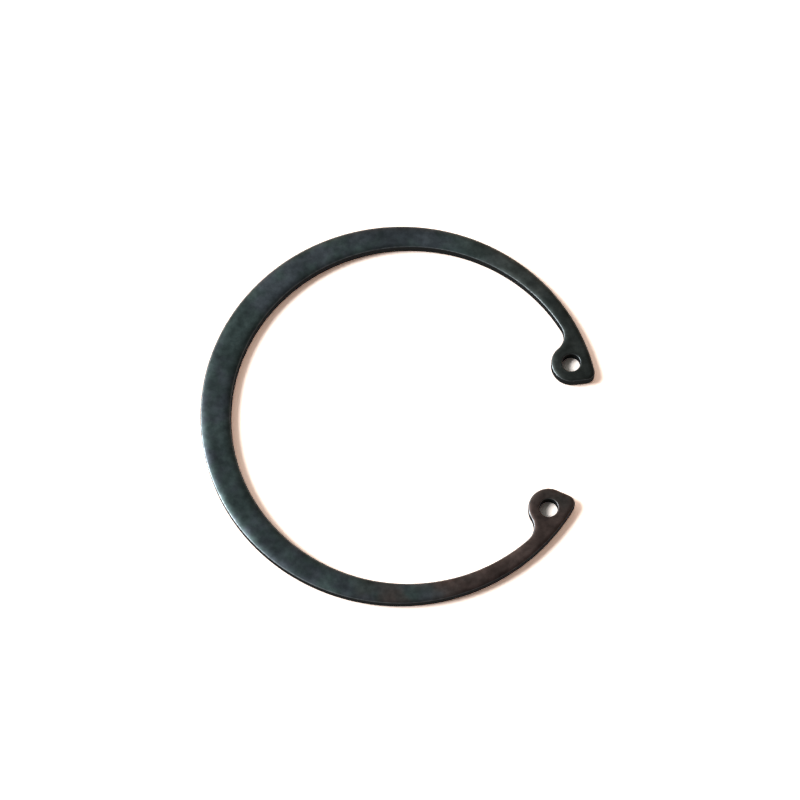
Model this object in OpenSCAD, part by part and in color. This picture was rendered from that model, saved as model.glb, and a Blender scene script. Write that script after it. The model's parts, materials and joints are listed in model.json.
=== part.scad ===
// Internal circlip: a retaining ring stamped from spring steel strip, for the groove of a bore.
// The outside circle is centred on the origin, the ring lies on z = 0 and its gap faces +X.
// Each lug carries a hole for one tip of the pliers that squeeze the ring to fit it.

/* [Ring] */
// Outside diameter of the ring as it lies free, out of its bore
free_d = 66.2; // [64:0.1:72]
// Thickness of the strip
thickness = 2; // [1.5:0.05:2.3]
// Width of the band at the back, opposite the gap
band_back = 5.1; // [4.4:0.1:6]
// Width to which the band tapers towards the gap
band_front = 2.15; // [1.8:0.05:2.6]

/* [Lugs] */
// Diameter of the plier hole in each lug
hole_d = 3; // [2.5:0.1:3.2]
// Metal round the hole, between its wall and the lug's round edge
lug_wall = 1.85; // [1.6:0.05:2]
// How far a lug reaches in from the outside circle
lug_reach = 6.75; // [6.5:0.05:7.5]
// Angle of each hole from the middle of the gap
hole_angle = 25.5; // [22:0.5:30]
// Angle of each end face from the middle of the gap
end_angle = 16; // [12:0.5:19]
// Radius of the neck where the band runs into a lug
neck_r = 2.95; // [2:0.05:4]
// Radius of the corner between an end face and the outside circle
tip_r = 1.4; // [1:0.05:1.6]

/* [Edges] */
// Radius of the upper edges, rolled over by the punch
upper_r = 0.35; // [0.2:0.05:0.5]
// Radius of the lower edges, broken by tumbling
lower_r = 0.15; // [0.1:0.05:0.25]
// Radius of both rims of a plier hole
rim_r = 0.15; // [0.05:0.05:0.3]

/* [Hidden] */
$fa = 3;
$fs = 0.2;

outer_r = free_d / 2;
inner_r = (free_d - band_back - band_front) / 2;
boss_r = hole_d / 2 + lug_wall;
// Arcs that run into each other cross by this much, since two that only touch join badly
bite = 0.005;
// How far the end face stops short of the middles of the two arcs that it joins
tuck = 0.05;
// Room that a cutting shape has beyond what it cuts
spare = 1;

// The inside circle is off centre, towards the gap, which tapers the band
inner_c = [(band_back - band_front) / 2, 0];
hole_c = polar(outer_r - lug_reach + boss_r, hole_angle);
neck_c = crossing(inner_c, inner_r - neck_r, hole_c, boss_r + neck_r);

// The tip's circle touches the end face and the outside circle
lug_c = polar(norm(hole_c), hole_angle - end_angle);
tip_y = lug_c.y - boss_r + tip_r;
tip_x = sqrt(pow(outer_r - tip_r + bite, 2) - tip_y * tip_y);
tip_c = turned([tip_x, tip_y], end_angle);
end_face_l = tip_x - lug_c.x;

function polar(r, angle) = r * [cos(angle), sin(angle)];
function turned(p, angle) = p.x * polar(1, angle) + p.y * polar(1, angle + 90);

function past_rim(p) = p * (outer_r + spare) / norm(p);

// Where a circle about a crosses a circle about b, on the left of the way from a to b
function crossing(a, r_a, b, r_b) =
  let (d = norm(b - a), along = (r_a * r_a - r_b * r_b + d * d) / (2 * d))
  a + turned([along, sqrt(r_a * r_a - along * along)], atan2(b.y - a.y, b.x - a.x));

// What a rounding of radius r takes off a corner at the origin that faces +X +Y
module corner(r) {
  translate([-r, bite - r]) difference() {
    square(r + spare);
    circle(r);
  }
}

// Section of a strip of width w, with both edges on its +X side rounded
module strip_section(w) {
  difference() {
    square([w, thickness]);
    translate([w, thickness]) corner(upper_r);
    translate([w, 0]) mirror([0, 1]) corner(lower_r);
  }
}

// Half section of a hole of radius r, with its rims rounded over
module hole_section(r, top, bottom) {
  translate([0, -spare]) square([r, thickness + 2 * spare]);
  translate([r, thickness]) mirror([1, 0]) corner(top);
  translate([r, 0]) rotate(180) corner(bottom);
}

module disc(r) {
  rotate_extrude() strip_section(r);
}

module opening(r, top = upper_r, bottom = lower_r) {
  rotate_extrude() hole_section(r, top, bottom);
}

// The tapered band, cut off on the line from the centre through each tip's middle
module band() {
  difference() {
    disc(outer_r);
    translate(inner_c) opening(inner_r);
    translate([0, 0, -spare]) linear_extrude(thickness + 2 * spare)
      polygon([[0, 0], 2 * tip_c, 2 * [tip_c.x, -tip_c.y]]);
  }
}

// The straight end face, whose ends lie just inside the round boss and the round tip
module end_face() {
  translate(hole_c) rotate(end_angle) translate([end_face_l - tuck, 0]) rotate([90, 0, -90])
    linear_extrude(end_face_l - 2 * tuck) strip_section(boss_r - bite);
}

// The metal between the hole, the band, the neck and the tip
module web() {
  difference() {
    linear_extrude(thickness) polygon([hole_c, neck_c, past_rim(neck_c), past_rim(tip_c), tip_c]);
    translate(neck_c) opening(neck_r + bite);
  }
}

module lug() {
  intersection() {
    disc(outer_r);
    union() {
      translate(hole_c) disc(boss_r);
      translate(tip_c) disc(tip_r);
      end_face();
      web();
    }
  }
}

module retaining_ring() {
  color("#2b2f31") difference() {
    union() {
      band();
      for (side = [0, 1]) mirror([0, side, 0]) lug();
    }
    for (side = [0, 1]) mirror([0, side, 0]) translate(hole_c) opening(hole_d / 2, rim_r, rim_r);
  }
}

retaining_ring();
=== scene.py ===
import json
import math

import bmesh
import bpy
from mathutils import Matrix, Vector


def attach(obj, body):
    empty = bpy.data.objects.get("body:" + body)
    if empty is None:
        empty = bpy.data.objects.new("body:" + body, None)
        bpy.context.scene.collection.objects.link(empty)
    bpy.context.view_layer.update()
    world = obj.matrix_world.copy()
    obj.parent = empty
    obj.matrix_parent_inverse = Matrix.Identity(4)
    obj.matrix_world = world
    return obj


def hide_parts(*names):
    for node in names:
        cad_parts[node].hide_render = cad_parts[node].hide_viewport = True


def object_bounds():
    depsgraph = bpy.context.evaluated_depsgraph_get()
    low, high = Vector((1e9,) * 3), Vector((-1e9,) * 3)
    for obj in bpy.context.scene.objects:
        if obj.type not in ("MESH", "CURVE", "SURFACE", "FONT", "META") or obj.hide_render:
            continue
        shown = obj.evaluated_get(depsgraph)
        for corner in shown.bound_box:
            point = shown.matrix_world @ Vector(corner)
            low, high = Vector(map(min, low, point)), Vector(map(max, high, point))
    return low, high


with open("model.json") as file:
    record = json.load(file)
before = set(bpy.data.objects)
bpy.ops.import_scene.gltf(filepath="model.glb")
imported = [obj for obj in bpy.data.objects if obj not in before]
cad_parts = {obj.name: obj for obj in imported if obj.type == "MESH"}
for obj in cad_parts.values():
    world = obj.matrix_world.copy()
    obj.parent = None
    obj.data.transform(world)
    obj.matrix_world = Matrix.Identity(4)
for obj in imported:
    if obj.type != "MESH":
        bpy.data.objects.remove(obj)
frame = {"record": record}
cad_low, cad_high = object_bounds()

# The retaining ring. It is stamped in one blow from spring steel strip, then tumbled, blackened in a hot
# bath and oiled. In use it springs out into the groove of a bore. Here it lies free on its lower face.
MM = 0.001
mounts = {mount["name"]: mount for mount in frame["record"]["mounts"]}
outer_r = mounts["outer_rim"]["dims"]["r_mm"] * MM
hole_r = mounts["plier_hole_left"]["dims"]["r_mm"] * MM
hole_centre = Vector(mounts["plier_hole_left"]["pos_m"][:2])
thickness = cad_high.z - cad_low.z

# The outline. The outside is a circle about the origin, the inside a smaller circle set towards the gap,
# which tapers the band. Each lug is a boss round its plier hole, with a hollow neck on the band's side, a
# straight end face on the gap's side and a rounded tip at the outside.
BAND_BACK = 5.1 * MM
BAND_FRONT = 2.15 * MM
LUG_WALL = 1.85 * MM
NECK_R = 2.95 * MM
TIP_R = 1.4 * MM
END_ANGLE = math.radians(16)
POINT_STEP = 0.3 * MM
POINT_TURN = math.radians(5)

boss_r = hole_r + LUG_WALL
inner_r = outer_r - (BAND_BACK + BAND_FRONT) / 2
inner_centre = Vector(((BAND_BACK - BAND_FRONT) / 2, 0))


def polar(radius, angle):
    return Vector((radius * math.cos(angle), radius * math.sin(angle)))


def crossing(a, r_a, b, r_b):
    """Where a circle about a crosses a circle about b, on the left of the way from a to b."""
    d = (b - a).length
    ahead = (r_a**2 - r_b**2 + d**2) / (2 * d)
    forward = (b - a) / d
    return a + ahead * forward + math.sqrt(r_a**2 - ahead**2) * forward.orthogonal()


def arc(centre, radius, start, end):
    """(point, outward normal) pairs of an arc, from one angle of the normal up to another.

    The radius of a hollow arc, whose normals point at its centre, is negative.
    """
    turn = end - start
    steps = math.ceil(max(abs(radius * turn) / POINT_STEP, abs(turn) / POINT_TURN))
    normals = [polar(1, start + turn * i / steps) for i in range(steps)]
    return [(centre + radius * normal, normal) for normal in normals]


def straight(start, end, normal):
    steps = math.ceil((end - start).length / POINT_STEP)
    return [(start.lerp(end, i / steps), normal) for i in range(steps)]


end_normal = polar(1, END_ANGLE - math.pi / 2)
boss_out = hole_centre.dot(end_normal) + boss_r - TIP_R
tip_reach = math.sqrt((outer_r - TIP_R) ** 2 - boss_out**2)
tip_centre = boss_out * end_normal + tip_reach * polar(1, END_ANGLE)
neck_centre = crossing(inner_centre, inner_r - NECK_R, hole_centre, boss_r + NECK_R)
end_at_boss = hole_centre + boss_r * end_normal
end_at_tip = tip_centre + TIP_R * end_normal

# The angle of the outward normal where one stretch of the upper lug's outline runs into the next. At the
# inside circle the normal points at the centre, which takes off half a turn, and the boss starts a full
# turn back so that its angles run upwards.
tip_turn = math.atan2(tip_centre.y, tip_centre.x)
end_turn = END_ANGLE - math.pi / 2
to_neck = neck_centre - hole_centre
neck_turn = math.atan2(to_neck.y, to_neck.x) - 2 * math.pi
to_band = neck_centre - inner_centre
band_turn = math.atan2(to_band.y, to_band.x) - math.pi

# The lower lug is the upper one's mirror image
flip = Vector((1, -1))
low_hole, low_tip, low_neck = hole_centre * flip, tip_centre * flip, neck_centre * flip
outline = (
    arc(Vector((0, 0)), outer_r, tip_turn, 2 * math.pi - tip_turn)
    + arc(low_tip, TIP_R, -tip_turn, -end_turn)
    + straight(end_at_tip * flip, end_at_boss * flip, end_normal * flip)
    + arc(low_hole, boss_r, -end_turn, -neck_turn)
    + arc(low_neck, -NECK_R, -neck_turn, -band_turn)
    + arc(inner_centre, -inner_r, -band_turn, band_turn)
    + arc(neck_centre, -NECK_R, band_turn, neck_turn)
    + arc(hole_centre, boss_r, neck_turn, end_turn)
    + straight(end_at_boss, end_at_tip, end_normal)
    + arc(tip_centre, TIP_R, end_turn, tip_turn)
)
holes = [arc(centre, -hole_r, 0, -2 * math.pi) for centre in (hole_centre, low_hole)]

# The edges. The punch shears the upper part of the wall clean and the rest tears off, a hair further in.
# It rolls the upper edge over and draws the face down behind it, in a shoulder whose width is a share of
# the band's. Tumbling has only broken the lower edge. The holes have small rims of the same kind.
LOWER_R = 0.15 * MM
UPPER_R = 0.14 * MM
RIM_R = 0.12 * MM
LOWER_STEPS = 5
UPPER_STEPS = 10
SHOULDER_SHARE = 0.41
RIM_SHOULDER = 0.3 * MM
SHOULDER_SLOPE = math.radians(19)
SHOULDER_POWER = 3
SHOULDER_STEPS = 12
TEAR_DEPTH = 0.015 * MM
TORN_SHARE = 0.45
CLEAN_FROM_SHARE = 0.53
FACE_INSET = 0.1 * MM


def rounding(radius, steps, last_slope=0.0):
    """(inset, rise) pairs from an upright wall over to a surface of the last slope."""
    slopes = [math.pi / 2 + (last_slope - math.pi / 2) * i / steps for i in range(steps + 1)]
    return [(radius * (1 - math.sin(slope)), radius * math.cos(slope)) for slope in slopes]


def edge_section(top_r, shoulder_w):
    """(inset, height) pairs from the lower face to the upper face.

    The first and the last lie further in, on the flat faces, so that these shade flat.
    """
    broken = reversed(rounding(LOWER_R, LOWER_STEPS))
    lower_edge = [(TEAR_DEPTH + inset, LOWER_R - rise) for inset, rise in broken]
    roll = rounding(top_r, UPPER_STEPS, SHOULDER_SLOPE)
    roll_inset, roll_rise = roll[-1]
    drop = shoulder_w * math.tan(SHOULDER_SLOPE) / SHOULDER_POWER
    wall_top = thickness - drop - roll_rise
    wall = [(TEAR_DEPTH, wall_top * TORN_SHARE), (0.0, wall_top * CLEAN_FROM_SHARE)]
    upper_edge = [(inset, wall_top + rise) for inset, rise in roll]
    shares = [(i + 1) / SHOULDER_STEPS for i in range(SHOULDER_STEPS)]
    shoulder = [
        (roll_inset + shoulder_w * share, thickness - drop * (1 - share) ** SHOULDER_POWER)
        for share in shares
    ]
    section = lower_edge + wall + upper_edge + shoulder
    lower_inset, upper_inset = section[0][0] + FACE_INSET, section[-1][0] + FACE_INSET
    return [(lower_inset, 0.0)] + section + [(upper_inset, thickness)]


def band_edge(point):
    """The section at a point of the outline, where the band narrows evenly towards the gap."""
    band_width = (BAND_BACK + BAND_FRONT) / 2 - inner_centre.x * point.x / outer_r
    return edge_section(UPPER_R, SHOULDER_SHARE * band_width)


def hole_edge(point):
    return edge_section(RIM_R, RIM_SHOULDER)


def sweep(blank, loop, section_at):
    """Adds the faces all round a closed loop; returns the edges of its lower and its upper rim."""
    sections = [section_at(point) for point, normal in loop]
    rows = []
    for row in zip(*sections):
        rows.append([
            blank.verts.new((*(point - inset * normal), cad_low.z + height))
            for (point, normal), (inset, height) in zip(loop, row)
        ])
    pairs = [(i, (i + 1) % len(loop)) for i in range(len(loop))]
    for below, above in zip(rows, rows[1:]):
        for i, j in pairs:
            blank.faces.new((below[i], below[j], above[j], above[i]))
    return [[blank.edges.get((row[i], row[j])) for i, j in pairs] for row in (rows[0], rows[-1])]


blank = bmesh.new()
rims = [sweep(blank, outline, band_edge)]
rims += [sweep(blank, hole, hole_edge) for hole in holes]
for face_rims in zip(*rims):
    edges = [edge for rim in face_rims for edge in rim]
    bmesh.ops.triangle_fill(blank, edges=edges, use_beauty=True, use_dissolve=False)
bmesh.ops.recalc_face_normals(blank, faces=blank.faces)
for face in blank.faces:
    face.smooth = True
mesh = bpy.data.meshes.new("stamped_ring")
blank.to_mesh(mesh)
blank.free()
ring = bpy.data.objects.new("stamped_ring", mesh)
bpy.context.scene.collection.objects.link(ring)
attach(ring, "root")
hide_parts("retaining_ring")

# The finish. The hot bath has left a black film, blue green where it is even and brownish at one lug,
# where the brown is partly the film's own and partly a painted warm reflection. Tumbling has burnished
# the rolled edges, and the sheared walls are a dull, sooty black.
TEAL = (0.074, 0.099, 0.094)
INDIGO = (0.079, 0.090, 0.100)
GREY = (0.088, 0.096, 0.088)
UMBER = (0.128, 0.088, 0.077)
WORN = (0.34, 0.36, 0.365)
SOOT = (0.024, 0.025, 0.025)

# The functions below add their nodes to the tree that is being built
finish = bpy.data.materials.new("blackened_spring_steel")
finish.use_nodes = True
tree = finish.node_tree
shader = tree.nodes["Principled BSDF"]
place = tree.nodes.new("ShaderNodeTexCoord").outputs["Object"]

# The colour sockets of a Mix node go by number, since its other kinds have the same names
MIX_A = 6
MIX_B = 7
MIX_RESULT = 2

# Most of the noise lies within the wide limits, and the narrow ones bring out more of its contrast
NOISE_WIDE = (0.3, 0.7)
NOISE_NARROW = (0.35, 0.65)


def feed(socket, value):
    """Links a node's output to a socket, or sets the socket to a number, a direction or a colour."""
    if isinstance(value, bpy.types.NodeSocket):
        tree.links.new(value, socket)
    else:
        socket.default_value = (*value, 1) if socket.type == "RGBA" else value


def reckon(operation, a, b=0.0):
    math_node = tree.nodes.new("ShaderNodeMath")
    math_node.operation = operation
    feed(math_node.inputs[0], a)
    feed(math_node.inputs[1], b)
    return math_node.outputs["Value"]


def along(vector, direction):
    """How far a vector reaches in a direction."""
    dot = tree.nodes.new("ShaderNodeVectorMath")
    dot.operation = "DOT_PRODUCT"
    feed(dot.inputs[0], vector)
    feed(dot.inputs[1], direction)
    return dot.outputs["Value"]


def towards(side):
    """How far towards a side of the ring a place lies, as a share of the ring's radius."""
    x, y = side
    return along(place, (x / outer_r, y / outer_r, 0))


def cloud(width, detail=3, roughness=0.55):
    """Noise in patches about that wide."""
    noise = tree.nodes.new("ShaderNodeTexNoise")
    noise.inputs["Scale"].default_value = 1 / width
    noise.inputs["Detail"].default_value = detail
    noise.inputs["Roughness"].default_value = roughness
    feed(noise.inputs["Vector"], place)
    return noise.outputs["Fac"]


def spread(value, limits, results=(0.0, 1.0)):
    """Eases a value between two limits over to the range between two results."""
    ramp = tree.nodes.new("ShaderNodeMapRange")
    ramp.interpolation_type = "SMOOTHSTEP"
    for name, number in zip(("From Min", "From Max", "To Min", "To Max"), (*limits, *results)):
        ramp.inputs[name].default_value = number
    feed(ramp.inputs["Value"], value)
    return ramp.outputs["Result"]


def blend(share, a, b, mode="MIX"):
    mix = tree.nodes.new("ShaderNodeMix")
    mix.data_type = "RGBA"
    mix.blend_type = mode
    feed(mix.inputs["Factor"], share)
    feed(mix.inputs[MIX_A], a)
    feed(mix.inputs[MIX_B], b)
    return mix.outputs[MIX_RESULT]


# The film's patches of blue green and indigo give way to grey towards the gap, and to brown at the lug
# on the -Y side; that brown is partly the film's own and partly a painted warm reflection. Where they do
# so wanders in and out in broad clouds.
PATCH_SIZE = 5 * MM
PATCH_LIMITS = (0.42, 0.62)
WANDER_SIZE = 9 * MM
WANDER_REACH = (-0.17, 0.17)
GREY_SIDE = (1, 0)
GREY_REACH = (0.0, 0.7)
BROWN_SIDE = (0.8, -0.6)
BROWN_REACH = (0.6, 0.98)

wander = spread(cloud(WANDER_SIZE), NOISE_WIDE, WANDER_REACH)
greying = spread(reckon("ADD", towards(GREY_SIDE), wander), GREY_REACH)
brown_and_warm_reflection = spread(reckon("ADD", towards(BROWN_SIDE), wander), BROWN_REACH)
film = blend(spread(cloud(PATCH_SIZE), PATCH_LIMITS), TEAL, INDIGO)
film = blend(greying, film, GREY)
film = blend(brown_and_warm_reflection, film, UMBER)

# It is darker in clouds, towards the lug on the +Y side, along the back of the band and in its fine
# grain.
DEPTH_SIZE = 6 * MM
DEPTH_DETAIL = 2
DEPTH_SHADES = (0.72, 1.14)
LUG_SIDE = (0.9, 0.45)
LUG_REACH = (0.7, 0.95)
LUG_WANDER = 0.4
LUG_SHADES = (1.0, 0.74)
BACK_SIDE = (-1, -0.2)
BACK_REACH = (0.75, 1.0)
BACK_SHADES = (1.0, 0.78)
GRAIN_SIZE = 1.1 * MM
GRAIN_DETAIL = 5
GRAIN_ROUGHNESS = 0.65
GRAIN_SHADES = (0.76, 1.22)

near_lug = reckon("SUBTRACT", towards(LUG_SIDE), reckon("MULTIPLY", wander, LUG_WANDER))
shades = (
    spread(cloud(DEPTH_SIZE, DEPTH_DETAIL), NOISE_NARROW, DEPTH_SHADES),
    spread(near_lug, LUG_REACH, LUG_SHADES),
    spread(towards(BACK_SIDE), BACK_REACH, BACK_SHADES),
    spread(cloud(GRAIN_SIZE, GRAIN_DETAIL, GRAIN_ROUGHNESS), NOISE_WIDE, GRAIN_SHADES),
)
for shade in shades:
    film = blend(1.0, film, shade, "MULTIPLY")

# The soot, the burnished metal and the film follow one another by how level the surface is, from 0 on a
# wall to 1 on a face. The burnish is brighter in some places than in others.
FILM_LEVEL = (0.86, 0.925)
BURNISH_LEVEL = (0.93, 0.968)
FADE_OUT = (1.0, 0.0)
RUB_SIZE = 0.6 * MM
RUB_SHARES = (0.5, 1.0)

tilt = tree.nodes.new("ShaderNodeSeparateXYZ")
feed(tilt.inputs["Vector"], tree.nodes.new("ShaderNodeNewGeometry").outputs["Normal"])
level = reckon("ABSOLUTE", tilt.outputs["Z"])
metal = spread(level, FILM_LEVEL)
burnish = reckon("MULTIPLY", metal, spread(level, BURNISH_LEVEL, FADE_OUT))
rubbed = reckon("MULTIPLY", burnish, spread(cloud(RUB_SIZE), NOISE_NARROW, RUB_SHARES))
feed(shader.inputs["Base Color"], blend(metal, SOOT, blend(rubbed, film, WORN)))
feed(shader.inputs["Metallic"], metal)
shader.inputs["Specular IOR Level"].default_value = 0.0

# The oiled film is half glossy, in smears, and the walls are dull. Fine pits break up what it mirrors.
OIL_SIZE = 1.6 * MM
OIL_DETAIL = 4
OIL_ROUGHNESS = (0.33, 0.40)
WALL_LEVEL = (0.1, 0.5)
WALL_ROUGHNESS = (0.45, 0.0)
PIT_SIZE = 0.35 * MM
PIT_DETAIL = 5
PIT_ROUGHNESS = 0.7
PIT_DEPTH = 0.01 * MM
PIT_STRENGTH = 0.4

oiled = spread(cloud(OIL_SIZE, OIL_DETAIL), NOISE_WIDE, OIL_ROUGHNESS)
feed(shader.inputs["Roughness"], reckon("ADD", oiled, spread(level, WALL_LEVEL, WALL_ROUGHNESS)))
pits = tree.nodes.new("ShaderNodeBump")
pits.inputs["Strength"].default_value = PIT_STRENGTH
pits.inputs["Distance"].default_value = PIT_DEPTH
feed(pits.inputs["Height"], cloud(PIT_SIZE, PIT_DETAIL, PIT_ROUGHNESS))
feed(shader.inputs["Normal"], pits.outputs["Normal"])
ring.data.materials.append(finish)

# The table: a plain sheet of white paper, a hair under the ring's lower face and wide enough to reach
# the horizon. The camera and the metal see it overexposed, as the photograph has it: white up to the
# ring, and warm in the ring's shadow.
SHEET_SIDE = 30.0
SHEET_GAP = 0.02 * MM
PAPER = (0.93, 0.93, 0.93)
OVEREXPOSED = (2.18, 1.84, 1.62)

half = SHEET_SIDE / 2
sheet_z = cad_low.z - SHEET_GAP
corners = [(x * half, y * half, sheet_z) for x, y in ((-1, -1), (1, -1), (1, 1), (-1, 1))]
sheet = bpy.data.meshes.new("table")
sheet.from_pydata(corners, [], [range(len(corners))])
table = bpy.data.objects.new("table", sheet)
bpy.context.scene.collection.objects.link(table)

paper = bpy.data.materials.new("white_paper")
paper.use_nodes = True
tree = paper.node_tree
tree.nodes.remove(tree.nodes["Principled BSDF"])
light_path = tree.nodes.new("ShaderNodeLightPath").outputs
mirrored = reckon("MAXIMUM", light_path["Is Glossy Ray"], light_path["Is Transmission Ray"])
seen = reckon("MAXIMUM", light_path["Is Camera Ray"], mirrored)
matt = tree.nodes.new("ShaderNodeBsdfDiffuse")
feed(matt.inputs["Color"], blend(seen, PAPER, OVEREXPOSED))
feed(tree.nodes["Material Output"].inputs["Surface"], matt.outputs["BSDF"])
table.data.materials.append(paper)

# The camera, where the photograph was taken from: high above the ring, with its gap to the right. It has
# a long lens, is rolled a little and is aimed just above the ring's centre.
CAMERA_AZIMUTH = math.radians(12.31)
CAMERA_ELEVATION = math.radians(70.49)
CAMERA_ROLL = math.radians(-2.94)
CAMERA_DISTANCE = 423.6 * MM
AIM_UP = 2.29 * MM
IMAGE_SIDE_PX = 800
FOCAL_PX = 2547
CLIP_NEAR = 0.01
CLIP_FAR = 100

level_right = Vector((math.cos(CAMERA_AZIMUTH), math.sin(CAMERA_AZIMUTH), 0))
level_back = Vector((level_right.y, -level_right.x, 0))
back = math.cos(CAMERA_ELEVATION) * level_back + math.sin(CAMERA_ELEVATION) * Vector((0, 0, 1))
upright = back.cross(level_right)
view_up = math.cos(CAMERA_ROLL) * upright - math.sin(CAMERA_ROLL) * level_right
view_right = view_up.cross(back)
pose = Matrix((view_right, view_up, back)).transposed().to_4x4()
pose.translation = back * CAMERA_DISTANCE + view_up * AIM_UP
camera = bpy.data.objects.new("camera", bpy.data.cameras.new("camera"))
bpy.context.scene.collection.objects.link(camera)
camera.matrix_world = pose
camera.data.lens = camera.data.sensor_width * FOCAL_PX / IMAGE_SIDE_PX
camera.data.clip_start = CLIP_NEAR
camera.data.clip_end = CLIP_FAR
bpy.context.scene.camera = camera

# The lamp: a cool one at the left of the picture, as wide as the softness of the shadows asks. Sides of
# the picture are angles from its right, and heights are angles over the table.
LAMP_SIDE = math.radians(174)
LAMP_HEIGHT = math.radians(48.5)
LAMP_SPREAD = math.radians(24)
LAMP_LEVEL = 0.61
LAMP_COLOUR = (0.87, 0.94, 1.0)


def heading(side, height):
    """The direction of what stands at that side of the picture and that height over the table."""
    flat = math.cos(side) * view_right.xy.normalized() + math.sin(side) * view_up.xy.normalized()
    return Vector((*(math.cos(height) * flat), math.sin(height)))


lamp = bpy.data.objects.new("lamp", bpy.data.lights.new("lamp", "SUN"))
bpy.context.scene.collection.objects.link(lamp)
lamp.data.angle = LAMP_SPREAD
lamp.data.color = LAMP_COLOUR
lamp.data.energy = LAMP_LEVEL * math.pi / math.sin(LAMP_HEIGHT)
lamp.rotation_mode = "QUATERNION"
lamp.rotation_quaternion = heading(LAMP_SIDE, LAMP_HEIGHT).to_track_quat("Z", "Y")

# The room that the metal mirrors: a dark ceiling, a window at the upper left, low warm walls that are
# brightest at the upper right, and a white horizon. Rises are sines of the height over the table.
CEILING_LIGHT = (0.045, 0.045, 0.045)
WINDOW_SIDE = math.radians(130)
WINDOW_HEIGHT = math.radians(56)
WINDOW_FALL = 8
WINDOW_LIGHT = (0.52, 0.61, 0.63)
WALL_SIDE = math.radians(65)
WALL_RISE = (0.4, 0.67)
ALL_ROUND = (-1.0, 1.0)
WALL_SHARES = (0.25, 1.9)
WALL_LIGHT = (1.18, 0.83, 0.66)
HORIZON_RISE = (0.16, 0.22)
WHITE = (1.0, 1.0, 1.0)

world = bpy.data.worlds.new("room")
bpy.context.scene.world = world
world.use_nodes = True
tree = world.node_tree
ray = tree.nodes.new("ShaderNodeTexCoord").outputs["Generated"]
axes = tree.nodes.new("ShaderNodeSeparateXYZ")
feed(axes.inputs["Vector"], ray)
rise = axes.outputs["Z"]
to_window = reckon("MAXIMUM", along(ray, heading(WINDOW_SIDE, WINDOW_HEIGHT)), 0.0)
near_window = reckon("POWER", to_window, WINDOW_FALL)
wall_share = spread(along(ray, heading(WALL_SIDE, 0)), ALL_ROUND, WALL_SHARES)
wall = reckon("MULTIPLY", spread(rise, WALL_RISE, FADE_OUT), wall_share)
room = blend(wall, CEILING_LIGHT, WALL_LIGHT, "ADD")
room = blend(near_window, room, WINDOW_LIGHT, "ADD")
room = blend(spread(rise, HORIZON_RISE, FADE_OUT), room, WHITE)
feed(tree.nodes["Background"].inputs["Color"], room)

bpy.context.scene.view_settings.view_transform = "Standard"
